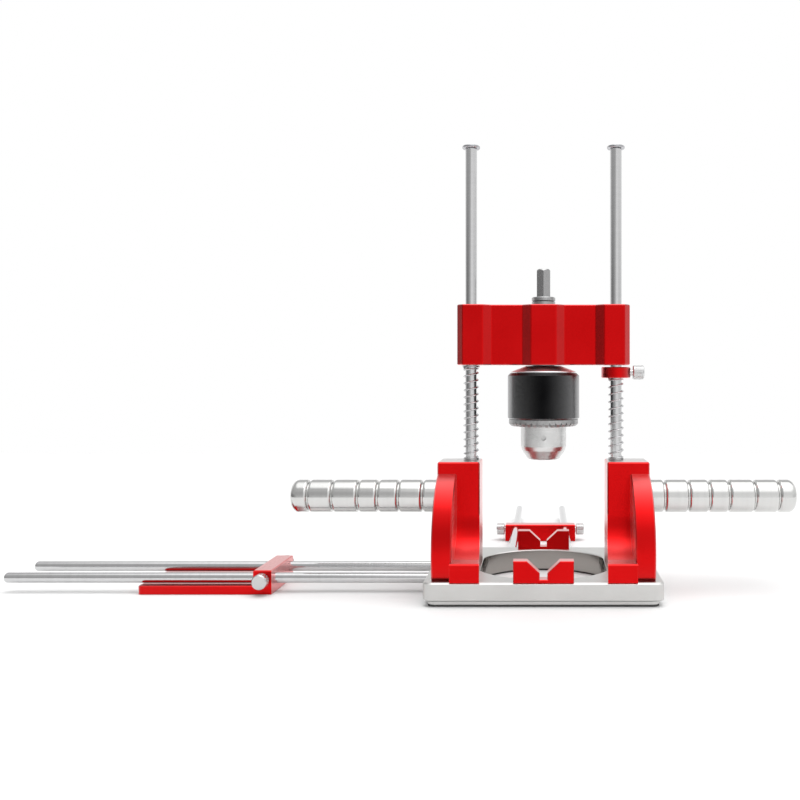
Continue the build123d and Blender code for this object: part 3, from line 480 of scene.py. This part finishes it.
def studio_world():
    """White to the camera. In reflections it is a studio: a bright light overhead, a front that
    is dim on the left and bright on the right, and a pale rear with a dim band across it."""
    world = bpy.data.worlds.new("studio")
    world.use_nodes = True
    tree = world.node_tree
    tree.nodes.clear()
    link = tree.links.new
    split = tree.nodes.new("ShaderNodeSeparateXYZ")
    link(tree.nodes.new("ShaderNodeTexCoord").outputs["Generated"], split.inputs["Vector"])

    def patch(axis, start, end, level, under):
        """Go over from what is under it to a level, between two places along an axis."""
        blend = tree.nodes.new("ShaderNodeMapRange")
        blend.interpolation_type = "SMOOTHSTEP"
        link(split.outputs[axis], blend.inputs["Value"])
        blend.inputs["From Min"].default_value = start
        blend.inputs["From Max"].default_value = end
        mixed = tree.nodes.new("ShaderNodeMix")
        link(blend.outputs["Result"], mixed.inputs["Factor"])
        for socket, value in (("A", under), ("B", level)):
            if isinstance(value, float):
                mixed.inputs[socket].default_value = value
            else:
                link(value, mixed.inputs[socket])
        return mixed.outputs["Result"]

    across = tree.nodes.new("ShaderNodeValToRGB")
    spot = tree.nodes.new("ShaderNodeMapRange")
    link(split.outputs["X"], spot.inputs["Value"])
    spot.inputs["From Min"].default_value = -1.0
    link(spot.outputs["Result"], across.inputs["Fac"])
    stops = [(0.02, 0.24), (0.11, 0.28), (0.24, 0.44), (0.38, 0.64), (0.53, 0.92), (0.68, 1.05),
             (0.82, 0.90), (0.93, 0.80)]
    elements = across.color_ramp.elements
    for index, (place, grey) in enumerate(stops):
        element = elements[index] if index < 2 else elements.new(place)
        element.position = place
        element.color = (grey, grey, grey, 1.0)
    left_step = ("X", -0.24, -0.08)
    right_step = ("X", -0.06, 0.10)
    band = patch(*right_step, 0.95, patch(*left_step, 0.72, 0.50))
    low = patch("Z", 0.06, 0.30, band, across.outputs["Color"])
    upper = patch(*right_step, 1.60, patch(*left_step, 1.10, 0.60))
    front = patch("Z", 0.45, 0.72, upper, low)
    overhead = patch(*left_step, 2.6, 1.5)
    lid = patch("Z", 0.80, 0.95, overhead, front)
    back = patch("Z", 0.70, 0.90, 1.1, patch("Z", 0.40, 0.62, 0.55, 1.0))
    light = patch("Y", 0.22, 0.48, back, lid)

    lit = tree.nodes.new("ShaderNodeBackground")
    link(light, lit.inputs["Strength"])
    seen = tree.nodes.new("ShaderNodeBackground")
    path = tree.nodes.new("ShaderNodeLightPath")
    blend = tree.nodes.new("ShaderNodeMixShader")
    output = tree.nodes.new("ShaderNodeOutputWorld")
    for background in (lit, seen):
        background.inputs["Color"].default_value = (1.0, 1.0, 1.0, 1.0)
    link(path.outputs["Is Camera Ray"], blend.inputs["Fac"])
    link(lit.outputs["Background"], blend.inputs[1])
    link(seen.outputs["Background"], blend.inputs[2])
    link(blend.outputs["Shader"], output.inputs["Surface"])
    bpy.context.scene.world = world


def camera():
    """Level, in front of the base, with the tool right of the picture's centre."""
    data = bpy.data.cameras.new("camera")
    data.sensor_width = 36.0
    data.lens = CAMERA_LENS
    data.shift_x, data.shift_y = CAMERA_SHIFT
    data.clip_end = 100.0
    piece = bpy.data.objects.new("camera", data)
    piece.location = CAMERA_PLACE
    piece.rotation_euler = (math.pi / 2, 0.0, 0.0)
    bpy.context.scene.collection.objects.link(piece)
    bpy.context.scene.camera = piece


def floor_light():
    """A soft light from above, mainly for the floor. It is left out of reflections."""
    data = bpy.data.lights.new("floor_light", "AREA")
    data.shape = "DISK"
    data.size = 3.0
    data.energy = 26.0
    piece = bpy.data.objects.new("floor_light", data)
    piece.location = (0.0, 0.0, 2.4)
    piece.visible_glossy = False
    bpy.context.scene.collection.objects.link(piece)


floor()
floor_light()
studio_world()
camera()
bpy.context.scene.view_settings.view_transform = "Standard"
